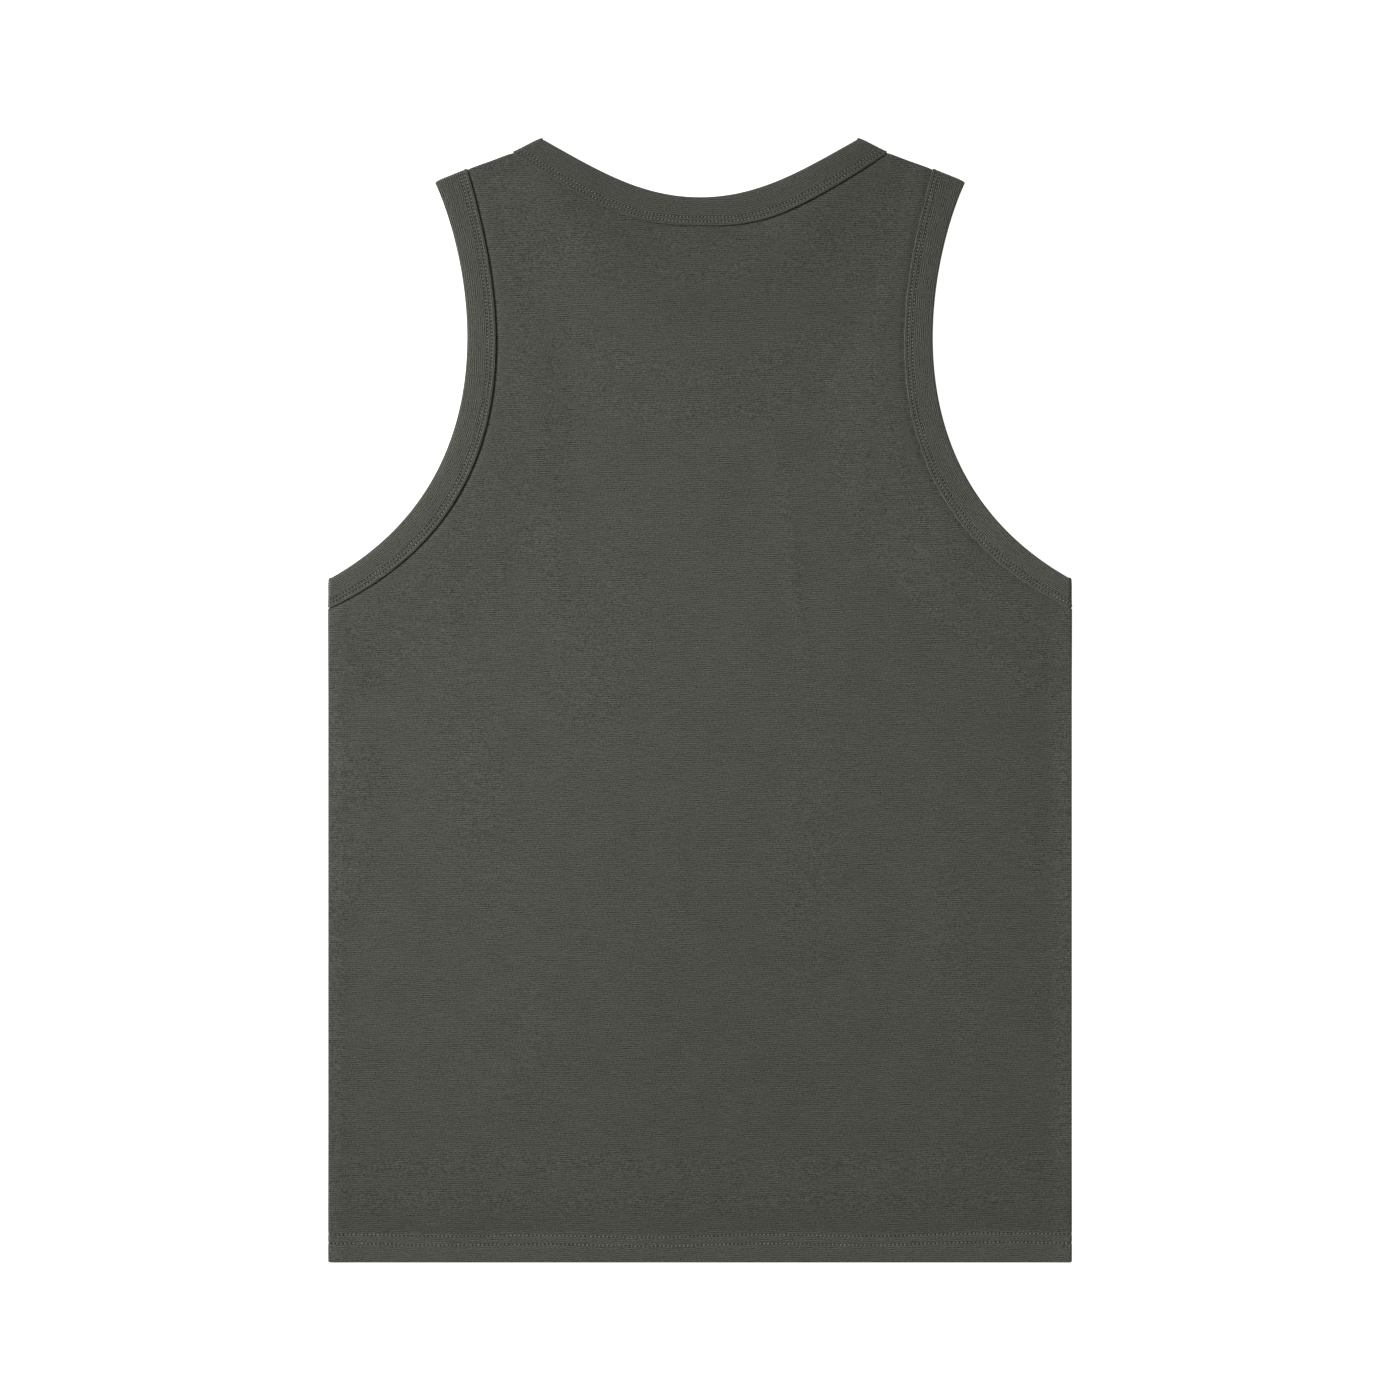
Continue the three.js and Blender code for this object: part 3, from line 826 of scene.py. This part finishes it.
def slub_jersey(name, colour, on_band, row_contrast, lightness):
    """Matt slub cotton jersey. The eye sees thin rows of yarn, one lighter and one darker, that
    come and go in short patches, a fine dry grain over them, and nearly no gloss. The real rows
    are about 0.67 mm apart, too fine to show here, so they are drawn twice as far apart. On a
    band, lightness gives the share of light by its foot, by its edge and at its start, the last
    of them painted light. On a panel, painted shade darkens the hem's folded edge, the slope up
    to the hem and the shaded ovals, and on both the cloth is darkened round each needle hole as
    painted shade."""
    material = bpy.data.materials.new(name)
    material.use_nodes = True
    tree = material.node_tree
    tree.nodes.clear()
    own_map = add(tree, "UVMap", uv_map=CLOTH_MAP)
    place = own_map if on_band else add(tree, "TexCoord", out="Object")
    along, across = (add(tree, "SeparateXYZ", {0: place}, out=k) for k in (0, 1))
    noise = {}
    for part, size_mm, detail, seed in KNIT_NOISES:
        scaled = add(tree, "Mapping", {"Vector": place, "Location": seed, "Scale": [1000.0 / s for s in size_mm]})
        noise[part] = add(tree, "TexNoise", {"Vector": scaled, "Scale": 1.0, "Detail": detail, "Roughness": 0.55})
    even_s = {"interpolation_type": "SMOOTHSTEP"}
    slant = add(tree, "Math", {0: along, 1: ROW_REPEAT[1] / ROW_REPEAT[0], 2: across}, operation="MULTIPLY_ADD")
    waves = []
    for way, pitch, drift, share in (
        (across, ROW_PITCH, "drift", ROW_DRIFT), (slant, ROW_REPEAT[1], "wander", REPEAT_WANDER),
    ):
        phase = add(tree, "Math", {0: way, 1: 2 * math.pi * 1000 / pitch}, operation="MULTIPLY")
        phase = add(tree, "Math", {0: noise[drift], 1: share, 2: phase}, operation="MULTIPLY_ADD")
        waves.append(add(tree, "Math", {0: phase}, operation="SINE"))
    rows, repeat = waves
    strength = add(tree, "Math", {0: repeat, 1: REPEAT_SHARE, 2: noise["strength"]}, operation="MULTIPLY_ADD")
    strength = add(tree, "MapRange", {0: strength, 1: 0.33, 2: 0.67, 3: 0.0, 4: 1.1}, **even_s)
    rows = add(tree, "Math", {0: rows, 1: strength}, operation="MULTIPLY")
    mixed = add(tree, "Math", {0: rows, 1: row_contrast}, operation="MULTIPLY")
    for part, contrast in (("grain", GRAIN_CONTRAST), ("slub", SLUB_CONTRAST), ("patch", PATCH_CONTRAST)):
        centred = add(tree, "Math", {0: noise[part], 1: 0.5}, operation="SUBTRACT")
        mixed = add(tree, "Math", {0: centred, 1: contrast, 2: mixed}, operation="MULTIPLY_ADD")
    light = add(tree, "Math", {0: mixed, 1: 1.0}, operation="ADD")
    if on_band:
        # lightness by the foot and by the edge, and painted light near the start
        by_foot, by_edge, painted_light_at_start = lightness
        zones = [(across, *BAND_FACE_ZONE, by_foot, by_edge), (along, *PAINTED_LIGHT_START_ZONE, painted_light_at_start, 1.0)]
    else:
        ways = {
            "up": add(tree, "SeparateXYZ", {0: own_map}, out=1),
            "aside": add(tree, "Math", {0: along}, operation="ABSOLUTE"),
        }
        zones = [(ways[way], *rest) for way, *rest in PANEL_ZONES]
        for mid_x, mid_y, half_x, half_y, full, end, share in SHADED_OVALS:
            shift, scale = (-mid_x / half_x, -mid_y / half_y, 0), (1000 / half_x, 1000 / half_y, 0)
            reach = add(tree, "Mapping", {"Vector": place, "Location": shift, "Scale": scale})
            reach = add(tree, "VectorMath", {0: reach}, out=1, operation="LENGTH")
            zones.append((reach, full, end, share, 1.0))
    for way, low, high, at_low, at_high in zones:
        zone = add(tree, "MapRange", {0: way, 1: low, 2: high, 3: at_low, 4: at_high}, **even_s)
        light = add(tree, "Math", {0: light, 1: zone}, operation="MULTIPLY")
    # Painted shade: the cloth is darkened round each needle hole, as shade in its pit
    hole = needle_holes(tree, BAND_ROWS if on_band else HEM_ROWS, BAND_PITCH if on_band else HEM_PITCH)
    hole = add(tree, "Math", {0: hole, 1: -HOLE_PAINTED_SHADE, 2: 1.0}, operation="MULTIPLY_ADD")
    light = add(tree, "Math", {0: light, 1: hole}, operation="MULTIPLY")
    shade = add(tree, "CombineXYZ", {0: light, 1: light, 2: light})
    tinted = add(tree, "VectorMath", {0: linear(colour)[:3], 1: shade}, operation="MULTIPLY")
    bump = add(tree, "Bump", {"Height": mixed, "Strength": 0.5, "Distance": 0.00012})
    shader = add(tree, "BsdfPrincipled", {
        "Base Color": tinted, "Roughness": 0.92, "Specular IOR Level": 0.25,
        "Sheen Weight": 0.1, "Sheen Roughness": 0.5, "Normal": bump,
    })
    add(tree, "OutputMaterial", {"Surface": shader})
    return material


def spun_thread(name, dark, light):
    """Spun polyester sewing thread: a shade lighter than the cloth, more so where it is pulled
    less tight, with a faint soft gloss."""
    material = bpy.data.materials.new(name)
    material.use_nodes = True
    tree = material.node_tree
    tree.nodes.clear()
    place = add(tree, "TexCoord", out="Object")
    noise = []
    for size_mm, seed in THREAD_NOISES:
        scaled = add(tree, "Mapping", {"Vector": place, "Location": seed, "Scale": [1000.0 / size_mm] * 3})
        noise.append(add(tree, "TexNoise", {"Vector": scaled, "Scale": 1.0, "Detail": 1.0, "Roughness": 0.55}))
    share = add(tree, "Math", dict(enumerate(noise)), operation="ADD")
    share = add(tree, "MapRange", {0: share, 1: 0.75, 2: 1.25})
    colours = add(tree, "Mix", {"Factor": share, 6: linear(dark), 7: linear(light)}, out=2, data_type="RGBA")
    shader = add(tree, "BsdfPrincipled", {"Base Color": colours, "Roughness": 0.6})
    add(tree, "OutputMaterial", {"Surface": shader})
    return material


CHARCOAL = "#45453F"
knit = slub_jersey("slub_jersey", CHARCOAL, False, ROW_CONTRAST, None)
neck_knit = slub_jersey("slub_jersey_neck_band", CHARCOAL, True, ROW_CONTRAST, (0.97, 1.03, 1.0))
arm_knit = slub_jersey("slub_jersey_armhole_band", CHARCOAL, True, 1.6 * ROW_CONTRAST, (1.05, 1.13, 1.12))
thread = spun_thread("spun_polyester_thread", "#5E5E58", "#8E8E86")

back = panel("back_panel_cloth", True)
front = panel("front_panel_cloth", False)
rings = {
    "neck_band": neck_ring(),
    "armhole_band_left": armhole_ring(True),
    "armhole_band_right": armhole_ring(False),
}
bands = {name: band(name + "_cloth", ring, name == "neck_band") for name, ring in rings.items()}
band_threads = {
    name: band_stitches(name + "_stitches", ring, 0.0 if name == "neck_band" else ARM_ROW_SUNK)
    for name, ring in rings.items()
}
hem_threads = {
    name: hem_stitches(name + "_hem_stitches", name == "back_panel")
    for name in ("back_panel", "front_panel")
}

for piece, node, is_back in ((back, "back_panel", True), (front, "front_panel", False)):
    piece.data.materials.append(knit)
    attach(piece, "root")
    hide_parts(node)
for name, piece in bands.items():
    piece.data.materials.append(neck_knit if name == "neck_band" else arm_knit)
    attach(piece, "root")
    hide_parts(name)
for name, piece in list(band_threads.items()) + list(hem_threads.items()):
    piece.data.materials.append(thread)
    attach(piece, "root")

for name, piece in bands.items():
    length = along_ring(rings[name])[-1] * MM

# The surface it lies on: plain white board, wide enough to fill all but the lowest views
floor_points = np.array([[-1, -1, 0], [1, -1, 0], [1, 1, 0], [-1, 1, 0]]) * 14000.0 - [0, 0, 0.05]
floor_mesh = bpy.data.meshes.new("floor")
floor_mesh.from_pydata((floor_points * MM).tolist(), [], [[0, 1, 2, 3]])
floor = bpy.data.objects.new("floor", floor_mesh)
bpy.context.scene.collection.objects.link(floor)
board = bpy.data.materials.new("white_board")
board.use_nodes = True
board.node_tree.nodes.clear()
white = add(board.node_tree, "BsdfPrincipled", {
    "Base Color": linear("#C8C8C8"), "Roughness": 0.9,
    "Emission Color": linear("#FFFFFF"), "Emission Strength": 0.95,
})
add(board.node_tree, "OutputMaterial", {"Surface": white})
floor_mesh.materials.append(board)

# The photograph was taken from straight above, so the camera looks straight down
camera_data = bpy.data.cameras.new("camera")
camera_data.lens = 85.0
camera_data.sensor_width = 36.0
camera_data.clip_start = 0.05
camera_data.clip_end = 60.0
camera = bpy.data.objects.new("camera", camera_data)
bpy.context.scene.collection.objects.link(camera)
camera.location = (0.0, 0.0, 2.2228)
bpy.context.scene.camera = camera

# Soft studio light: a large lamp from the left, and an even grey sky
lamp_data = bpy.data.lights.new("left_lamp", "AREA")
lamp_data.shape = "DISK"
lamp_data.size = 0.85
lamp_data.spread = math.radians(49)
lamp_data.energy = 8.8
lamp = bpy.data.objects.new("left_lamp", lamp_data)
lamp_azimuth, lamp_elevation, lamp_distance = math.radians(160), math.radians(36), 2.8
away = np.array([
    math.cos(lamp_elevation) * math.cos(lamp_azimuth),
    math.cos(lamp_elevation) * math.sin(lamp_azimuth),
    math.sin(lamp_elevation),
])
lamp.location = np.array([0.06, -0.05, 0.0]) + lamp_distance * away
lamp.rotation_euler = (math.pi / 2 - lamp_elevation, 0.0, lamp_azimuth + math.pi / 2)
bpy.context.scene.collection.objects.link(lamp)

world = bpy.data.worlds.new("studio")
world.use_nodes = True
world.node_tree.nodes["Background"].inputs["Color"].default_value = (1, 1, 1, 1)
world.node_tree.nodes["Background"].inputs["Strength"].default_value = 0.3
bpy.context.scene.world = world
bpy.context.scene.view_settings.view_transform = "Standard"
